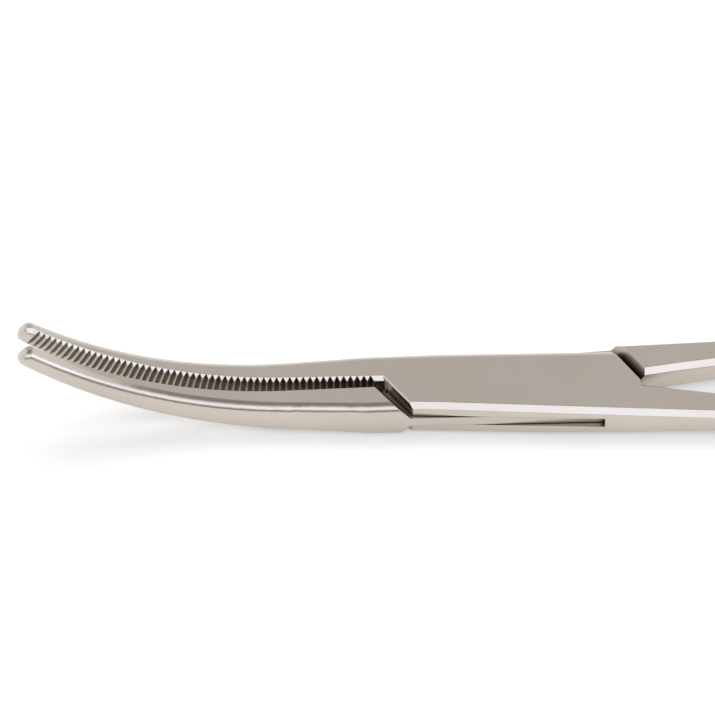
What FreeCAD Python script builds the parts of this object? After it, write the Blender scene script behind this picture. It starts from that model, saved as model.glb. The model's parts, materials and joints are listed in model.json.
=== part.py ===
import FreeCAD, Part
import os
import math
import Sketcher

doc = FreeCAD.newDocument("hemostat")

# Driving sizes in millimetres. X runs from the jaws to the rings, Z is the pivot axis.
SIZES = {
    "tip_reach": 58.6,
    "tip_thick": 2.7,
    "tip_blank": 6.2,
    "tip_width": 1.85,
    "tip_round": 0.9,
    "jaw_clear": 0.2,
    "jaw_radius": 980,
    "cheek_x": 18.0,
    "cheek_y": 4.2,
    "root_x": 15.5,
    "side_front_x": 12.2,
    "side_front_y": 4.25,
    "side_back_x": 12.3,
    "side_far_y": 4.8,
    "side_near_y": 5.3,
    "heel_x": 15.6,
    "heel_far_y": 0.04,
    "heel_near_y": 0.46,
    "tongue_front_x": 15.2,
    "tongue_front_side_x": 11.2,
    "tongue_back_x": 15.2,
    "tongue_back_side_x": 11.2,
    "tongue_thick": 1.4,
    "slot_clear": 0.06,
    "slot_end_clear": 0.3,
    "lock_over": 7.0,
    "jaw_over": 1.0,
    "notch_gap": 0.45,
    "notch_slope": 33.0,
    "shank_x": 40.0,
    "shank_inner_y": 3.0,
    "flare_radius": 1600.0,
    "shank_radius": 185,
    "shank_overlap": 1.0,
    "shank_end_inner_y": 4.37,
    "shank_end_outer_y": 8.97,
    "ring_x": 86.3,
    "ring_y": 15.85,
    "ring_radius": 14.0,
    "ring_hole_radius": 9.9,
    "ring_outer_blend": 16.0,
    "ring_inner_blend": 6.0,
    "root_half": 2.67,
    "rest_front_x": 17.0,
    "rest_back_x": 4.0,
    "crown_x": 9.0,
    "taper_x": 30.0,
    "shank_half": 1.78,
    "bend_top_x": 28.0,
    "bend_top_half": 2.5,
    "bend_top_radius": 50.0,
    "bend_low_x": 25.0,
    "bend_low_half": 2.2,
    "edge_round": 1.25,
    "shank_bevel": 0.7,
    "eye_bevel": 1.0,
    "bite_bevel": 0.5,
    "cheek_bevel": 0.22,
    "pin_radius": 1.9,
    "pin_clear": 0.04,
    "tooth_pitch": 0.82,
    "tooth_width": 0.78,
    "tooth_depth": 0.5,
    "tooth_start": 0.1,
    "cut_over": 0.1,
    "straight_teeth": 13.0,
    "curved_teeth": 41,
    "rack_x": 68.0,
    "rack_width": 6.0,
    "rack_root_y": 5.6,
    "rack_end_y": 0.8,
    "rack_top": 1.65,
    "rack_clear": 0.05,
    "rack_tooth": 1.05,
    "rack_depth": 0.55,
    "rest_opening": 1.55,
    "blank_height": 100.0,
    "around": 30.0,
}

sheet = doc.addObject("Spreadsheet::Sheet", "Size")
for row, (word, amount) in enumerate(SIZES.items(), 1):
    sheet.set("A%d" % row, word)
    sheet.set("B%d" % row, "%g" % amount)
    sheet.setAlias("B%d" % row, word)
doc.recompute()


def rule(text):
    # Short words in a rule stand for cells of the sheet.
    out = text
    for word in sorted(SIZES, key=len, reverse=True):
        out = out.replace("[" + word + "]", "Size." + word)
    return out


def amount_of(text):
    return float(probe.evalExpression(rule(text)))


def plane_of(body, role):
    for item in body.Origin.OriginFeatures:
        if item.Role == role:
            return item
    return None


def outline(body, name, role, points, arcs=None, offset=None):
    # A closed outline: every corner is located from the origin by two rules.
    arcs = arcs or {}
    sketch = body.newObject("Sketcher::SketchObject", name)
    sketch.AttachmentSupport = [(plane_of(body, role), "")]
    sketch.MapMode = "FlatFace"
    if offset:
        sketch.setExpression("AttachmentOffset.Base.z", rule(offset))
    add_loop(sketch, points, arcs)
    return sketch


def add_loop(sketch, points, arcs):
    spots = [FreeCAD.Vector(amount_of(a), amount_of(b), 0) for a, b in points]
    count = len(points)
    first = sketch.GeometryCount
    for i in range(count):
        start = spots[i]
        end = spots[(i + 1) % count]
        if i in arcs:
            radius = amount_of(arcs[i][0])
            side = arcs[i][1]
            chord = end - start
            half = chord.Length / 2
            normal = FreeCAD.Vector(-chord.y, chord.x, 0).normalize()
            reach = math.sqrt(radius * radius - half * half)
            centre = (start + end) * 0.5 - normal * (reach * side)
            angles = [math.atan2(p.y - centre.y, p.x - centre.x) for p in (start, end)]
            if side > 0:
                angles.reverse()
            if angles[1] < angles[0]:
                angles[1] += 2 * math.pi
            circle = Part.Circle(centre, FreeCAD.Vector(0, 0, 1), radius)
            sketch.addGeometry(Part.ArcOfCircle(circle, angles[0], angles[1]), False)
        else:
            sketch.addGeometry(Part.LineSegment(start, end), False)
    ends = []
    for i in range(count):
        if i in arcs and arcs[i][1] > 0:
            ends.append((2, 1))
        else:
            ends.append((1, 2))
    for i in range(count):
        following = (i + 1) % count
        sketch.addConstraint(Sketcher.Constraint(
            "Coincident", first + i, ends[i][1], first + following, ends[following][0]))
    for i in range(count):
        a, b = points[i]
        for kind, text, value in (("DistanceX", a, spots[i].x), ("DistanceY", b, spots[i].y)):
            number = sketch.addConstraint(
                Sketcher.Constraint(kind, -1, 1, first + i, ends[i][0], value))
            sketch.setExpression("Constraints[%d]" % number, rule(text))
        if i in arcs:
            number = sketch.addConstraint(
                Sketcher.Constraint("Radius", first + i, amount_of(arcs[i][0])))
            sketch.setExpression("Constraints[%d]" % number, rule(arcs[i][0]))


def swept(body, kind, name, sketch, length, symmetric=True, reverse=False):
    feature = body.newObject(kind, name)
    feature.Profile = sketch
    feature.SideType = "Symmetric" if symmetric else "One side"
    feature.Reversed = reverse
    feature.Length = amount_of(length)
    feature.setExpression("Length", rule(length))
    sketch.Visibility = False
    doc.recompute()
    body.Tip = feature
    return feature


def edge_names(shape, test):
    names = []
    for i, edge in enumerate(shape.Edges, 1):
        if test(edge):
            names.append("Edge%d" % i)
    return names


def eased(body, kind, name, test, size):
    # Rounds or bevels the edges of the current shape that pass the test.
    before = body.Tip
    names = edge_names(before.Shape, test)
    if not names:
        raise RuntimeError("no edge found for " + name)
    feature = body.newObject(kind, name)
    feature.Base = (before, names)
    word = "Radius" if kind.endswith("Fillet") else "Size"
    setattr(feature, word, amount_of(size))
    feature.setExpression(word, rule(size))
    doc.recompute()
    body.Tip = feature
    return feature


def upright(edge):
    box = edge.BoundBox
    return box.XLength < 1e-4 and box.YLength < 1e-4 and box.ZLength > 1e-3


def mirrored(points, side):
    return [(a, b if side > 0 else "-(" + b + ")") for a, b in points]


FRAME = [
    ("-[tip_reach] - [around]", "-2 * [around]"),
    ("[ring_x] + [ring_radius] + [around]", "-2 * [around]"),
    ("[ring_x] + [ring_radius] + [around]", "3 * [around]"),
    ("-[tip_reach] - [around]", "3 * [around]"),
]


# Slope of the jaw at its tip, and the tip's end, square to it.
TIP_SIN = "(([tip_reach] - [bend_top_x]) / [bend_top_radius])"
TIP_COS = "sqrt(1 - %s^2)" % TIP_SIN
TIP_TOP_Z = "([bend_top_half] + [bend_top_radius] * (1 - %s))" % TIP_COS
TIP_LOW_X = "([tip_reach] + [tip_thick] * %s)" % TIP_SIN
TIP_LOW_Z = "(%s - [tip_thick] * %s)" % (TIP_TOP_Z, TIP_COS)


def side_loop():
    # Side view: jaws curving up to a square tip, thick lock, tapered shanks, level rings.
    far = "[ring_x] + [ring_radius] + [shank_overlap]"
    points = [
        (far, "[shank_half]"),
        ("[taper_x]", "[shank_half]"),
        ("-[crown_x]", "[root_half]"),
        ("-[bend_top_x]", "[bend_top_half]"),
        ("-[tip_reach]", TIP_TOP_Z),
        ("-" + TIP_LOW_X, TIP_LOW_Z),
        ("-[bend_low_x]", "-[bend_low_half]"),
        ("-[rest_front_x]", "-[root_half]"),
        ("[rest_back_x]", "-[root_half]"),
        ("[taper_x]", "-[shank_half]"),
        (far, "-[shank_half]"),
    ]
    arcs = {
        3: ("[bend_top_radius]", 1),
        5: (level_arc(TIP_LOW_X + " - [bend_low_x]", TIP_LOW_Z + " + [bend_low_half]"), -1),
    }
    return points, arcs


def level_arc(run, rise):
    # Radius of the arc that starts level and rises by one amount over a run.
    return "((%s)^2 + (%s)^2) / (2 * (%s))" % (run, rise, rise)


# The tongue's front corner on the side line of the lock.
TONGUE_NEAR_Y = ("([side_front_y] + ([side_front_x] - [tongue_front_side_x])"
                 " * ([side_near_y] - [side_front_y]) / ([side_front_x] + [side_back_x]))")


def strip_points(part):
    # Plan outline of a half from jaw tip to the start of its ring.
    jaw = [
        ("-[tip_reach] - [tip_blank]", "[jaw_clear]"),
        ("-[tip_reach] - [tip_blank]", "[jaw_clear] + [tip_width]"),
        ("-[cheek_x]", "[cheek_y]"),
    ]
    shank_end = ("[ring_x] + [shank_overlap]"
                 " - sqrt([ring_radius]^2 - ([ring_y] - [shank_end_inner_y])^2)")
    shank = [
        ("[shank_x]", "-[shank_inner_y]"),
        (shank_end, "-[shank_end_inner_y]"),
        (shank_end, "-[shank_end_outer_y]"),
    ]
    if part == "box":
        lock_far = [
            ("[side_back_x]", "[side_far_y]"),
            ("[heel_x]", "[heel_far_y]"),
            ("[heel_x]", "-[heel_near_y]"),
        ]
        lock_near = [
            ("[side_back_x]", "-[side_near_y]"),
            ("-[side_front_x]", "-[side_front_y]"),
            ("-[root_x]", "[jaw_clear]"),
        ]
    else:
        lock_far = [
            ("[tongue_back_side_x]", "[side_far_y]"),
            ("[tongue_back_x]", "[heel_far_y]"),
            ("[heel_x]", "-[heel_near_y]"),
        ]
        lock_near = [
            ("[side_back_x]", "-[side_near_y]"),
            ("-[tongue_front_side_x]", "-" + TONGUE_NEAR_Y),
            ("-[tongue_front_x]", "[heel_far_y]"),
            ("-[root_x]", "[jaw_clear]"),
        ]
    return jaw + lock_far + shank + lock_near


def forging(name, part, side):
    # Blank of one half: plan outline, ring and side view, before the lock is cut.
    body = doc.addObject("PartDesign::Body", name)
    body.Label = name
    points = mirrored(strip_points(part), side)
    arcs = {
        1: ("[jaw_radius]", -side),
        5: ("[shank_radius]", -side),
        8: ("[flare_radius]", -side),
    }
    plan = outline(body, name + "_plan", "XY_Plane", points, arcs)
    swept(body, "PartDesign::Pad", name + "_blank", plan, "[blank_height]")
    ring_y = "-[ring_y]" if side > 0 else "[ring_y]"
    ring = disc(body, name + "_ring_plan", "[ring_x]", ring_y, "[ring_radius]")
    swept(body, "PartDesign::Pad", name + "_ring", ring, "[blank_height]")
    start = amount_of("([shank_x] + [ring_x]) / 2")
    middle = amount_of("([shank_end_inner_y] + [shank_end_outer_y]) / 2")
    centre = amount_of("[ring_y]")

    def crotch_outer(edge):
        spot = edge.CenterOfMass
        return upright(edge) and spot.x > start and middle < abs(spot.y) < centre

    def crotch_inner(edge):
        spot = edge.CenterOfMass
        return upright(edge) and spot.x > start and abs(spot.y) < middle

    eased(body, "PartDesign::Fillet", name + "_outer_blend", crotch_outer, "[ring_outer_blend]")
    eased(body, "PartDesign::Fillet", name + "_inner_blend", crotch_inner, "[ring_inner_blend]")
    swept(body, "PartDesign::Pocket", name + "_side_cut", side_view(body, name + "_side"),
          "2 * [blank_height]")
    eye = disc(body, name + "_eye_plan", "[ring_x]", ring_y, "[ring_hole_radius]")
    swept(body, "PartDesign::Pocket", name + "_eye", eye, "[blank_height]")
    return body


def side_view(body, name):
    # Everything outside the side view, to be cut off.
    sketch = outline(body, name, "XZ_Plane", FRAME)
    loop, bends = side_loop()
    add_loop(sketch, loop, bends)
    return sketch


def disc(body, name, across, along, radius):
    sketch = body.newObject("Sketcher::SketchObject", name)
    sketch.AttachmentSupport = [(plane_of(body, "XY_Plane"), "")]
    sketch.MapMode = "FlatFace"
    add_circle(sketch, across, along, radius)
    return sketch


def add_circle(sketch, across, along, radius):
    spot = FreeCAD.Vector(amount_of(across), amount_of(along), 0)
    index = sketch.addGeometry(
        Part.Circle(spot, FreeCAD.Vector(0, 0, 1), amount_of(radius)), False)
    for kind, text, value in (("DistanceX", across, spot.x), ("DistanceY", along, spot.y)):
        if abs(value) < 1e-9:
            continue
        number = sketch.addConstraint(Sketcher.Constraint(kind, -1, 1, index, 3, value))
        sketch.setExpression("Constraints[%d]" % number, rule(text))
    if abs(spot.x) < 1e-9 and abs(spot.y) < 1e-9:
        sketch.addConstraint(Sketcher.Constraint("Coincident", index, 3, -1, 1))
    number = sketch.addConstraint(Sketcher.Constraint("Radius", index, amount_of(radius)))
    sketch.setExpression("Constraints[%d]" % number, rule(radius))


probe = doc.addObject("App::FeaturePython", "probe")
box = forging("box_half", "box", 1)
tongue = forging("tongue_half", "tongue", -1)


# Tolerances of the edge tests, in millimetres.
SHARES = (0.03, 0.5, 0.97)
ON_LINE = 0.02
BESIDE = 0.15


def samples(edge):
    low, high = edge.FirstParameter, edge.LastParameter
    return [edge.valueAt(low + (high - low) * share) for share in SHARES]


def flat_run(edge):
    # Everything but an upright corner.
    box = edge.BoundBox
    return box.XLength > 1e-4 or box.YLength > 1e-4


def on_tip_end(edge):
    # Whether an edge lies in the jaw's square end.
    turn_x = amount_of("-" + TIP_COS)
    turn_z = amount_of(TIP_SIN)
    end_x = amount_of("-[tip_reach]")
    end_z = amount_of(TIP_TOP_Z)
    return all(abs(turn_x * (p.x - end_x) + turn_z * (p.z - end_z)) < ON_LINE
               for p in samples(edge))


def tip_edges(side):
    # Outline of the jaw's square end, but for its edge on the bite.
    bite = amount_of("[jaw_clear]")

    def test(edge):
        return on_tip_end(edge) and any(side * p.y - bite > ON_LINE for p in samples(edge))
    return test


def far_edges(side):
    # Outer edges of the jaw and of the lock beside it.
    spots = [(amount_of(a), amount_of(b)) for a, b in strip_points("box")[1:4]]
    x_tip = amount_of("-" + TIP_LOW_X)

    def outside(p):
        near, far = spots[:2] if p.x < spots[1][0] else spots[1:]
        line = near[1] + (far[1] - near[1]) * (p.x - near[0]) / (far[0] - near[0])
        return x_tip - ON_LINE < p.x < far[0] + ON_LINE and side * p.y > line - BESIDE

    def test(edge):
        beside = all(outside(p) for p in samples(edge))
        return beside and flat_run(edge) and not on_tip_end(edge)
    return test


def near_edges(side):
    # Edges of the lock's other side, of the shank and around the ring.
    x_start = amount_of("-[side_front_x]")
    x_stop = amount_of("[side_back_x]")
    y_start = amount_of("-[side_front_y]")
    y_heel = amount_of("-[heel_near_y]")
    slope = amount_of("([side_front_y] - [side_near_y]) / ([side_front_x] + [side_back_x])")
    ring_x = amount_of("[ring_x]")
    ring_y = amount_of("[ring_y]")
    eye = amount_of("([ring_hole_radius] + [ring_radius]) / 2")

    def on_side(x, y):
        beside = abs(y - y_start - slope * (x - x_start)) < BESIDE
        return beside and x_start - BESIDE < x < x_stop + BESIDE

    def on_shank(x, y):
        return x > x_stop and y < y_heel + ON_LINE and math.hypot(x - ring_x, y + ring_y) > eye

    def test(edge):
        if not flat_run(edge) or edge.BoundBox.XLength < ON_LINE:
            return False
        return all(on_side(p.x, side * p.y) or on_shank(p.x, side * p.y) for p in samples(edge))
    return test


def eye_edges(side):
    ring_x = amount_of("[ring_x]")
    ring_y = amount_of("-[ring_y]") * side
    eye = amount_of("[ring_hole_radius]")

    def test(edge):
        return flat_run(edge) and all(
            abs(math.hypot(p.x - ring_x, p.y - ring_y) - eye) < ON_LINE for p in samples(edge))
    return test


def bite_edges(side):
    # Inner edges of the jaw, above and below the bite.
    x_stop = amount_of("-[root_x]")
    bite = amount_of("[jaw_clear]")

    def test(edge):
        return edge.BoundBox.XLength > bite and all(
            p.x < x_stop + ON_LINE and abs(side * p.y - bite) < ON_LINE for p in samples(edge))
    return test


def on_line(p, ax, ay, bx, by):
    length = math.hypot(bx - ax, by - ay)
    return abs((bx - ax) * (p.y - ay) - (by - ay) * (p.x - ax)) / length < ON_LINE


def cheek_edges(edge):
    # Level edges where the cheeks end, front and back.
    box = edge.BoundBox
    slot_half = amount_of("[tongue_thick]")
    if min(box.XLength, box.YLength) < slot_half / 2 or abs(edge.CenterOfMass.z) < slot_half:
        return False
    ends = (("-[side_front_x]", "-[side_front_y]", "-[root_x]", "[jaw_clear]"),
            ("[side_back_x]", "[side_far_y]", "[heel_x]", "[heel_far_y]"))
    return any(all(on_line(p, *[amount_of(t) for t in end]) for p in samples(edge))
               for end in ends)


def soften(body, side):
    name = body.Name
    eased(body, "PartDesign::Fillet", name + "_far_edges", far_edges(side), "[edge_round]")
    eased(body, "PartDesign::Fillet", name + "_tip_edges", tip_edges(side), "[tip_round]")
    eased(body, "PartDesign::Chamfer", name + "_near_edges", near_edges(side), "[shank_bevel]")
    eased(body, "PartDesign::Chamfer", name + "_eye_edges", eye_edges(side), "[eye_bevel]")
    eased(body, "PartDesign::Chamfer", name + "_bite_bevel", bite_edges(side), "[bite_bevel]")


def tooth_cut(body, side, shift, label):
    # One groove across the bite; its row is repeated along the jaw.
    name = body.Name + "_" + label
    middle = "-[bend_top_x] + (" + shift + ")"
    reach = "[tooth_width] / 2 * ([tooth_depth] + [cut_over]) / [tooth_depth]"
    points = [
        (middle + " - " + reach, "[jaw_clear] - [cut_over]"),
        (middle + " + " + reach, "[jaw_clear] - [cut_over]"),
        (middle, "[jaw_clear] + [tooth_depth]"),
    ]
    sketch = outline(body, name + "_plan", "XY_Plane", mirrored(points, side))
    return swept(body, "PartDesign::Pocket", name, sketch, "[bend_top_half] * 3")


def serrate(body, side, shift):
    name = body.Name
    straight = tooth_cut(body, side, shift + " + [tooth_pitch]", "groove_root")
    row = body.newObject("PartDesign::LinearPattern", name + "_grooves_root")
    row.Originals = [straight]
    for item in body.Origin.OriginFeatures:
        if item.Role == "X_Axis":
            row.Direction = (item, [""])
    row.Mode = "Spacing"
    row.Offset = amount_of("[tooth_pitch]")
    row.setExpression("Offset", rule("[tooth_pitch]"))
    row.Occurrences = int(amount_of("[straight_teeth]"))
    row.setExpression("Occurrences", rule("[straight_teeth]"))
    doc.recompute()
    body.Tip = row
    first = tooth_cut(body, side, shift, "groove_bend")
    axis = body.newObject("PartDesign::Line", name + "_bend_axis")
    axis.AttachmentSupport = [(plane_of(body, "XZ_Plane"), "")]
    axis.MapMode = "ObjectZ"
    axis.setExpression("AttachmentOffset.Base.x", rule("-[bend_top_x]"))
    axis.setExpression("AttachmentOffset.Base.y", rule("[bend_top_half] + [bend_top_radius]"))
    doc.recompute()
    fan = body.newObject("PartDesign::PolarPattern", name + "_grooves_bend")
    fan.Originals = [first]
    fan.Axis = (axis, [""])
    fan.Mode = "Spacing"
    step = "[tooth_pitch] / ([bend_top_radius] + [bend_top_half]) * 180 / pi"
    fan.Offset = amount_of(step)
    fan.setExpression("Offset", rule(step))
    fan.Occurrences = int(amount_of("[curved_teeth]"))
    fan.setExpression("Occurrences", rule("[curved_teeth]"))
    fan.Reversed = True
    doc.recompute()
    body.Tip = fan
    return fan


def rack(body, side):
    # Ratchet bar with three saw teeth, reaching across to the other shank.
    pitch, low, deep = "[rack_tooth]", "[rack_clear]", "[rack_clear] + [rack_depth]"
    points = [("-[rack_root_y]", "[rack_top]"), ("[rack_end_y]", "[rack_top]"),
              ("[rack_end_y]", deep)]
    for count in (1, 2, 3):
        along = "[rack_end_y] - %d * %s" % (count, pitch)
        points.append((along, low))
        points.append((along, deep))
    points.append(("-[rack_root_y]", deep))
    if side < 0:
        points = [("-(" + a + ")", "-(" + b + ")") for a, b in points]
    sketch = outline(body, body.Name + "_rack_side", "YZ_Plane", points, None, "[rack_x]")
    return swept(body, "PartDesign::Pad", body.Name + "_rack", sketch, "[rack_width]")


soften(box, 1)
soften(tongue, -1)

# Slot through the box half, parallel to the tongue's sloping ends.
front_run = "(([tongue_front_x] - [tongue_front_side_x]) / (%s + [heel_far_y]))" % TONGUE_NEAR_Y
back_run = "(([tongue_back_x] - [tongue_back_side_x]) / ([side_far_y] - [heel_far_y]))"
slot_front = "[tongue_front_x] + [slot_end_clear]"
slot_back = "[tongue_back_x] + [slot_end_clear]"
slot_points = [
    ("-(" + slot_front + ")", "-[heel_far_y]"),
    ("-(" + slot_front + ") - [lock_over] / 4", "-[lock_over]"),
    (slot_back + " - ([lock_over] - [heel_far_y]) * " + back_run, "-[lock_over]"),
    (slot_back, "-[heel_far_y]"),
    (slot_back + " + [lock_over] / 4", "[lock_over]"),
    ("-(" + slot_front + ") + ([lock_over] + [heel_far_y]) * " + front_run, "[lock_over]"),
]
slot = outline(box, "slot_plan", "XY_Plane", slot_points)
swept(box, "PartDesign::Pocket", "slot", slot, "[tongue_thick] + 2 * [slot_clear]")
eased(box, "PartDesign::Chamfer", "cheek_bevel", cheek_edges, "[cheek_bevel]")
pin_seat = disc(box, "pin_seat_plan", "0", "0", "[pin_radius]")
swept(box, "PartDesign::Pocket", "pin_seat", pin_seat, "[blank_height]")
rack(box, 1)
serrate(box, 1, "[tooth_start]")

# Shoulders of the tongue half: cut down to the tongue above and below.
cheek_front_run = "(([root_x] - [side_front_x]) / ([side_front_y] + [jaw_clear]))"
cheek_back_run = "(([heel_x] - [side_back_x]) / ([side_far_y] - [heel_far_y]))"
shoulder_front = "-[root_x] - [notch_gap]"
shoulder_back = "[heel_x] + [notch_gap]"
shoulder_points = [
    (shoulder_front + " - ([jaw_over] - [jaw_clear]) * " + cheek_front_run, "[jaw_over]"),
    (shoulder_front + " + ([lock_over] + [jaw_clear]) * " + cheek_front_run, "-[lock_over]"),
    ("[heel_x] + [lock_over] / 2", "-[lock_over]"),
    ("[heel_x] + [lock_over] / 2", "-[jaw_over]"),
    (shoulder_back + " + ([jaw_over] + [heel_far_y]) * " + cheek_back_run, "-[jaw_over]"),
    (shoulder_back + " - ([lock_over] - [heel_far_y]) * " + cheek_back_run, "[lock_over]"),
    ("-[root_x] - [lock_over] / 2", "[lock_over]"),
    ("-[root_x] - [lock_over] / 2", "[jaw_over]"),
]
for word, level, up in (("upper", "[tongue_thick] / 2", True), ("lower", "-[tongue_thick] / 2", False)):
    sketch = outline(tongue, word + "_shoulder_plan", "XY_Plane", shoulder_points, None, level)
    cut = swept(tongue, "PartDesign::Pocket", word + "_shoulder", sketch, "[blank_height] / 5", False, up)
    cut.TaperAngle = amount_of("[notch_slope]")
    cut.setExpression("TaperAngle", rule("[notch_slope]"))
    doc.recompute()
pin_bore = disc(tongue, "pin_bore_plan", "0", "0", "[pin_radius] + [pin_clear]")
swept(tongue, "PartDesign::Pocket", "pin_bore", pin_bore, "[blank_height]")
rack(tongue, -1)
serrate(tongue, -1, "[tooth_start] + [tooth_pitch] / 2")

# Pivot pin, ground flush with both cheeks.
pin = doc.addObject("PartDesign::Body", "pivot_pin")
pin.Label = "pivot_pin"
pin_plan = disc(pin, "pin_plan", "0", "0", "[pin_radius]")
swept(pin, "PartDesign::Pad", "pin_bar", pin_plan, "[blank_height] / 5")
swept(pin, "PartDesign::Pocket", "pin_flush", side_view(pin, "pin_side"), "2 * [blank_height]")

# Rest pose: underside on the ground plane, jaws slightly open about the pin.
for body, turn in ((box, "-[rest_opening] / 2"), (tongue, "[rest_opening] / 2"),
                   (pin, "-[rest_opening] / 2")):
    body.setExpression("Placement.Base.z", rule("[root_half]"))
    body.Placement = FreeCAD.Placement(
        FreeCAD.Vector(0, 0, amount_of("[root_half]")),
        FreeCAD.Rotation(FreeCAD.Vector(0, 0, 1), amount_of(turn)))
    body.setExpression("Placement.Rotation.Angle", rule(turn + " * 1"))
doc.recompute()

for item in doc.Objects:
    if "Invalid" in item.State or "Error" in item.State:
        raise RuntimeError("not built: " + item.Name + " " + str(item.State))
os.makedirs("parts", exist_ok=True)
for body in (box, tongue, pin):
    shape = body.Shape
    if shape.isNull() or not shape.isValid() or len(shape.Solids) != 1:
        raise RuntimeError("bad solid: " + body.Label)
    shape.exportStep("parts/" + body.Label + ".step")
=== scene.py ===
"""Curved locking forceps: satin steel look, white table, photograph's camera."""
import json
import math

import bmesh
import bpy
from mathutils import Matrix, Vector


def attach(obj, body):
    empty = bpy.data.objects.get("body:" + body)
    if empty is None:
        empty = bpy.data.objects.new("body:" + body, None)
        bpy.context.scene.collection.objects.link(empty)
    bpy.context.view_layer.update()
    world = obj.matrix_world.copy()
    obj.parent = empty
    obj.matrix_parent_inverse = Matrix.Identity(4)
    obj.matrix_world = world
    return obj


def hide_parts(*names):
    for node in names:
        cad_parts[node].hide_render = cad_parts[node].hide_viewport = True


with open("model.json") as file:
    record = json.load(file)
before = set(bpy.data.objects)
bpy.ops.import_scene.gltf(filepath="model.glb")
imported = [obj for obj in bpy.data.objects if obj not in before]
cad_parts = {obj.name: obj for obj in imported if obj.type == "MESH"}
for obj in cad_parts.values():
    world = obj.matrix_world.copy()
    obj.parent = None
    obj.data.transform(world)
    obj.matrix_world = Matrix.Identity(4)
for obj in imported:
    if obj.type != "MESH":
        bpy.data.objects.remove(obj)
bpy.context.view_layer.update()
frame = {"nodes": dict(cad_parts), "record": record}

MM = 0.001

# Photograph: a square picture, its scale and the pivot's place in it.
PICTURE = 715
POINTS_PER_MM = 8.2
PIVOT_X = 512.0
PIVOT_Y = 391.2
PIVOT_Z = 2.67 * MM
ELEVATION = math.radians(50.0)
TURN = math.radians(1.95)
DISTANCE = 0.9
NEAREST = 0.01
FARTHEST = 20

# Studio: white where it is seen or mirrored, and dimmer as a source of light.
CENTRE = (0, 0, 0)
WHITE = (1.0, 1.0, 1.0, 1.0)
COOL = (0.62, 0.75, 1.0)
SEEN_LEVEL = 1.0
LIT_LEVEL = 0.30
FLOOR_SIDE = 4.0
PAPER = (0.8, 0.8, 0.8, 1)
PAPER_GLOW = 0.49

# Steel: two close tones, a dark painted shade for its grooves, a fine grain and worn edges.
DARK_TONE = (0.576, 0.517, 0.457, 1)
LIGHT_TONE = (0.616, 0.557, 0.495, 1)
TONE_EDGES = (0.3, 0.7)
CLOUDS_PER_M = 90.0
# Painted shade for grooves, seams and slot ends: its dark colour, its reach and the openness over
# which it fades.
GROOVE_PAINTED_SHADE = (0.10, 0.086, 0.07, 1)
GROOVE_REACH = 1.2 * MM
GROOVE_OPENNESS = (0.35, 0.85)
GRAINS_PER_M = (900.0, 9000.0, 9000.0)
GRAIN_STRENGTH = 0.12
GRAIN_DEPTH = 0.02 * MM
ROUGHNESS = (0.16, 0.26)
WORN_RADIUS = 0.14 * MM
GROOVE_SAMPLES = 8
WORN_SAMPLES = 6

# Meshes: where the shading keeps an edge sharp. The bite's bevels are finer than the rest.
WELD = 0.0005 * MM
SHARP = math.radians(30.0)
SHARP_AT_BITE = math.radians(20.0)
BITE_HALF = 1.4 * MM
LOCK_START = -15.0 * MM
FACE_WEIGHT = 80


def place(thing, spot, forward):
    """Link an object at a spot, looking along a direction."""
    bpy.context.scene.collection.objects.link(thing)
    thing.location = spot
    thing.rotation_mode = "QUATERNION"
    thing.rotation_quaternion = forward.to_track_quat("-Z", "Y")


def make_camera():
    forward_flat = Vector((math.sin(TURN), math.cos(TURN), 0))
    forward = forward_flat * math.cos(ELEVATION) + Vector((0, 0, -math.sin(ELEVATION)))
    right = Vector((math.cos(TURN), -math.sin(TURN), 0))
    up = right.cross(forward)
    scale = MM / POINTS_PER_MM
    target = (Vector((0, 0, PIVOT_Z))
              - right * (PIVOT_X - PICTURE / 2) * scale
              + up * (PIVOT_Y - PICTURE / 2) * scale)
    data = bpy.data.cameras.new("camera")
    data.lens = data.sensor_width * DISTANCE / (PICTURE * scale)
    data.clip_start = NEAREST
    data.clip_end = FARTHEST
    camera = bpy.data.objects.new("camera", data)
    place(camera, target - forward * DISTANCE, forward)
    bpy.context.scene.camera = camera


def node_material(name):
    material = bpy.data.materials.new(name)
    material.use_nodes = True
    material.node_tree.nodes.clear()
    return material, material.node_tree


def add(tree, kind, **sockets):
    node = tree.nodes.new(kind)
    for socket, value in sockets.items():
        node.inputs[socket].default_value = value
    return node


def finish_material(tree, surface):
    out = tree.nodes.new("ShaderNodeOutputMaterial")
    tree.links.new(surface, out.inputs["Surface"])


def shown_rays(tree):
    """1 for the rays that show the studio itself: seen, mirrored or through."""
    path = tree.nodes.new("ShaderNodeLightPath")
    total = path.outputs["Is Camera Ray"]
    for kind in ("Is Glossy Ray", "Is Transmission Ray"):
        either = tree.nodes.new("ShaderNodeMath")
        either.operation = "MAXIMUM"
        tree.links.new(total, either.inputs[0])
        tree.links.new(path.outputs[kind], either.inputs[1])
        total = either.outputs[0]
    return total


def area_light(name, spot, size, power, aim=CENTRE, color=(1, 1, 1), on_metal=True, on_table=True):
    data = bpy.data.lights.new(name, "AREA")
    data.shape = "RECTANGLE"
    data.size, data.size_y = size
    data.energy = power
    data.color = color
    light = bpy.data.objects.new(name, data)
    place(light, spot, Vector(aim) - Vector(spot))
    light.visible_glossy = on_metal
    light.visible_diffuse = on_table


def rectangle(name, size, material):
    """A flat sheet around its own centre."""
    x, y = size[0] / 2, size[1] / 2
    data = bpy.data.meshes.new(name)
    data.from_pydata([(-x, -y, 0), (x, -y, 0), (x, y, 0), (-x, y, 0)], [], [(0, 1, 2, 3)])
    data.materials.append(material)
    return bpy.data.objects.new(name, data)


def card(name, spot, size, level, aim=CENTRE):
    """A plain glowing studio panel of one level, facing its aim."""
    material, tree = node_material(name)
    glow = add(tree, "ShaderNodeEmission", Color=WHITE, Strength=level)
    finish_material(tree, glow.outputs[0])
    panel = rectangle(name, size, material)
    place(panel, spot, Vector(aim) - Vector(spot))


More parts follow.
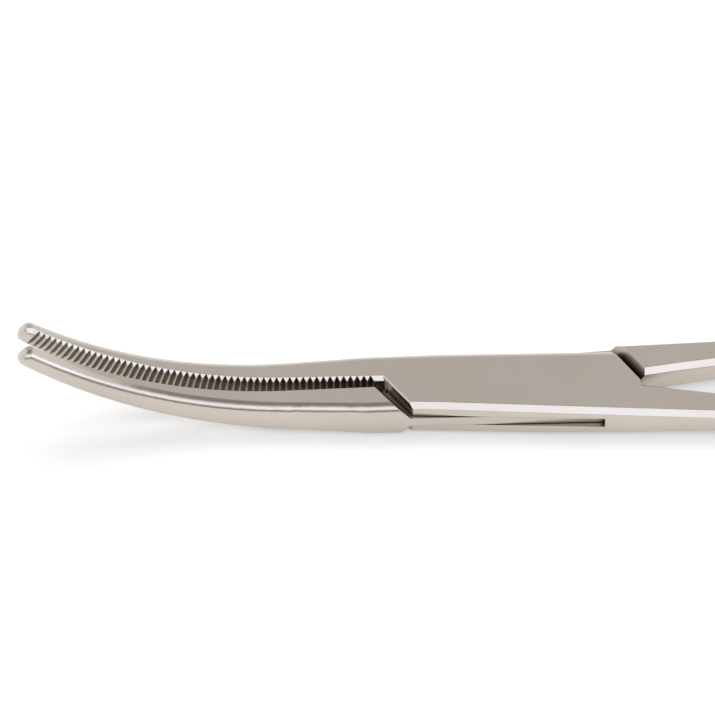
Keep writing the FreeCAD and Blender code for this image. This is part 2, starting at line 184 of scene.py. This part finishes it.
def make_lights():
    # Cool soft boxes in front shine in the metal's bevels: the long one in most of them,
    # the low one in those near the tips, which lean to the right.
    area_light("front_box", spot=(0.2, -0.684, 0.554), aim=(0.2, 0, 0), size=(1.8, 0.34),
               power=1.5, color=COOL, on_table=False)
    area_light("tip_box", spot=(0.7, -0.55, 0.34), size=(0.55, 0.4),
               power=0.45, color=COOL, on_table=False)
    # Keys high up light the table and cast the soft shadow on it.
    area_light("back_key", spot=(0, 0.36, 0.92), size=(1.0, 0.4), power=2.9, on_metal=False)
    area_light("front_key", spot=(0, -0.42, 0.85), size=(0.9, 0.3), power=1.3, on_metal=False)
    # Grey panels behind, above and low in front shade what the polished steel mirrors.
    card("back_panel", spot=(0, 1.24, 1.24), size=(3.2, 1.4), level=0.72)
    card("ceiling", spot=(0, 0.05, 2.0), aim=(0, 0.05, 0), size=(3.0, 1.9), level=0.34)
    card("skirting", spot=(0, -1.2, 0.22), aim=(0, 0, 0.22), size=(4.0, 0.44), level=0.35)


def make_world():
    world = bpy.data.worlds.new("studio")
    bpy.context.scene.world = world
    world.use_nodes = True
    tree = world.node_tree
    tree.nodes.clear()
    seen = add(tree, "ShaderNodeBackground", Color=WHITE, Strength=SEEN_LEVEL)
    lit = add(tree, "ShaderNodeBackground", Color=WHITE, Strength=LIT_LEVEL)
    mix = tree.nodes.new("ShaderNodeMixShader")
    out = tree.nodes.new("ShaderNodeOutputWorld")
    tree.links.new(shown_rays(tree), mix.inputs[0])
    tree.links.new(lit.outputs[0], mix.inputs[1])
    tree.links.new(seen.outputs[0], mix.inputs[2])
    tree.links.new(mix.outputs[0], out.inputs["Surface"])


def make_floor():
    """White paper: it takes the shadow, and glows only where it is seen or mirrored."""
    material, tree = node_material("paper")
    paper = add(tree, "ShaderNodeBsdfDiffuse", Color=PAPER)
    glow = add(tree, "ShaderNodeEmission", Color=WHITE)
    strength = tree.nodes.new("ShaderNodeMath")
    strength.operation = "MULTIPLY"
    strength.inputs[1].default_value = PAPER_GLOW
    both = tree.nodes.new("ShaderNodeAddShader")
    tree.links.new(shown_rays(tree), strength.inputs[0])
    tree.links.new(strength.outputs[0], glow.inputs["Strength"])
    tree.links.new(paper.outputs[0], both.inputs[0])
    tree.links.new(glow.outputs[0], both.inputs[1])
    finish_material(tree, both.outputs[0])
    floor = rectangle("floor", (FLOOR_SIDE, FLOOR_SIDE), material)
    bpy.context.scene.collection.objects.link(floor)


def cloudy_tone(tree, coordinates):
    """Two close tones in soft clouds."""
    cloud = add(tree, "ShaderNodeTexNoise", Scale=CLOUDS_PER_M, Detail=3.0)
    tree.links.new(coordinates, cloud.inputs["Vector"])
    tone = tree.nodes.new("ShaderNodeValToRGB")
    for stop, edge, color in zip(tone.color_ramp.elements, TONE_EDGES, (DARK_TONE, LIGHT_TONE)):
        stop.position = edge
        stop.color = color
    tree.links.new(cloud.outputs["Fac"], tone.inputs["Fac"])
    return tone.outputs["Color"]


def shade_painted_in_grooves(tree, tone):
    """Painted shade: grooves, seams and slot ends are darkened where ambient occlusion finds them
    closed in.
    """
    open_air = add(tree, "ShaderNodeAmbientOcclusion", Distance=GROOVE_REACH)
    open_air.samples = GROOVE_SAMPLES
    reach = tree.nodes.new("ShaderNodeMapRange")
    reach.inputs["From Min"].default_value = GROOVE_OPENNESS[0]
    reach.inputs["From Max"].default_value = GROOVE_OPENNESS[1]
    tree.links.new(open_air.outputs["AO"], reach.inputs["Value"])
    mix = tree.nodes.new("ShaderNodeMix")
    mix.data_type = "RGBA"
    mix.inputs["A"].default_value = GROOVE_PAINTED_SHADE
    tree.links.new(reach.outputs[0], mix.inputs["Factor"])
    tree.links.new(tone, mix.inputs["B"])
    return mix.outputs["Result"]


def long_grain(tree, coordinates):
    """Fine streaks along the instrument."""
    stretch = tree.nodes.new("ShaderNodeMapping")
    stretch.inputs["Scale"].default_value = GRAINS_PER_M
    tree.links.new(coordinates, stretch.inputs["Vector"])
    grain = add(tree, "ShaderNodeTexNoise", Scale=1.0, Detail=2.0)
    tree.links.new(stretch.outputs[0], grain.inputs["Vector"])
    return grain.outputs["Fac"]


def grained_roughness(tree, grain):
    rough = tree.nodes.new("ShaderNodeMapRange")
    rough.inputs["To Min"].default_value = ROUGHNESS[0]
    rough.inputs["To Max"].default_value = ROUGHNESS[1]
    tree.links.new(grain, rough.inputs["Value"])
    return rough.outputs[0]


def worn_normal(tree, grain):
    """The grain's bumps over edges that are slightly worn round."""
    worn = add(tree, "ShaderNodeBevel", Radius=WORN_RADIUS)
    worn.samples = WORN_SAMPLES
    bump = add(tree, "ShaderNodeBump", Strength=GRAIN_STRENGTH, Distance=GRAIN_DEPTH)
    tree.links.new(worn.outputs[0], bump.inputs["Normal"])
    tree.links.new(grain, bump.inputs["Height"])
    return bump.outputs[0]


def satin_steel():
    material, tree = node_material("satin_steel")
    shader = add(tree, "ShaderNodeBsdfPrincipled", Metallic=1.0)
    finish_material(tree, shader.outputs[0])
    coordinates = tree.nodes.new("ShaderNodeTexCoord").outputs["Object"]
    # The tone is darkened with painted shade in grooves, seams and slot ends.
    tone = shade_painted_in_grooves(tree, cloudy_tone(tree, coordinates))
    grain = long_grain(tree, coordinates)
    tree.links.new(tone, shader.inputs["Base Color"])
    tree.links.new(grained_roughness(tree, grain), shader.inputs["Roughness"])
    tree.links.new(worn_normal(tree, grain), shader.inputs["Normal"])
    return material


def keeps_edge(edge):
    """Sharp where two faces meet steeply, and at the fine bevels beside the bite."""
    if len(edge.link_faces) != 2:
        return True
    middle = (edge.verts[0].co + edge.verts[1].co) / 2
    at_bite = middle.x < LOCK_START and abs(middle.y) < BITE_HALF
    return edge.calc_face_angle(0.0) > (SHARP_AT_BITE if at_bite else SHARP)


def dressed(node, body, material):
    """A welded copy of a node, smooth over its rounded edges."""
    work = bmesh.new()
    work.from_mesh(frame["nodes"][node].data)
    bmesh.ops.remove_doubles(work, verts=work.verts, dist=WELD)
    bmesh.ops.recalc_face_normals(work, faces=work.faces)
    for face in work.faces:
        face.smooth = True
    for edge in work.edges:
        edge.smooth = not keeps_edge(edge)
    data = bpy.data.meshes.new(node + "_steel")
    work.to_mesh(data)
    work.free()
    data.materials.append(material)
    piece = bpy.data.objects.new(node + "_steel", data)
    bpy.context.scene.collection.objects.link(piece)
    even = piece.modifiers.new("even_normals", "WEIGHTED_NORMAL")
    even.keep_sharp = True
    even.weight = FACE_WEIGHT
    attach(piece, body)
    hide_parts(node)


bpy.context.scene.view_settings.view_transform = "Standard"
make_camera()
make_lights()
make_world()
make_floor()
metal = satin_steel()
for body, nodes in frame["record"]["behaviour"]["bodies"].items():
    for node in nodes:
        dressed(node, body, metal)
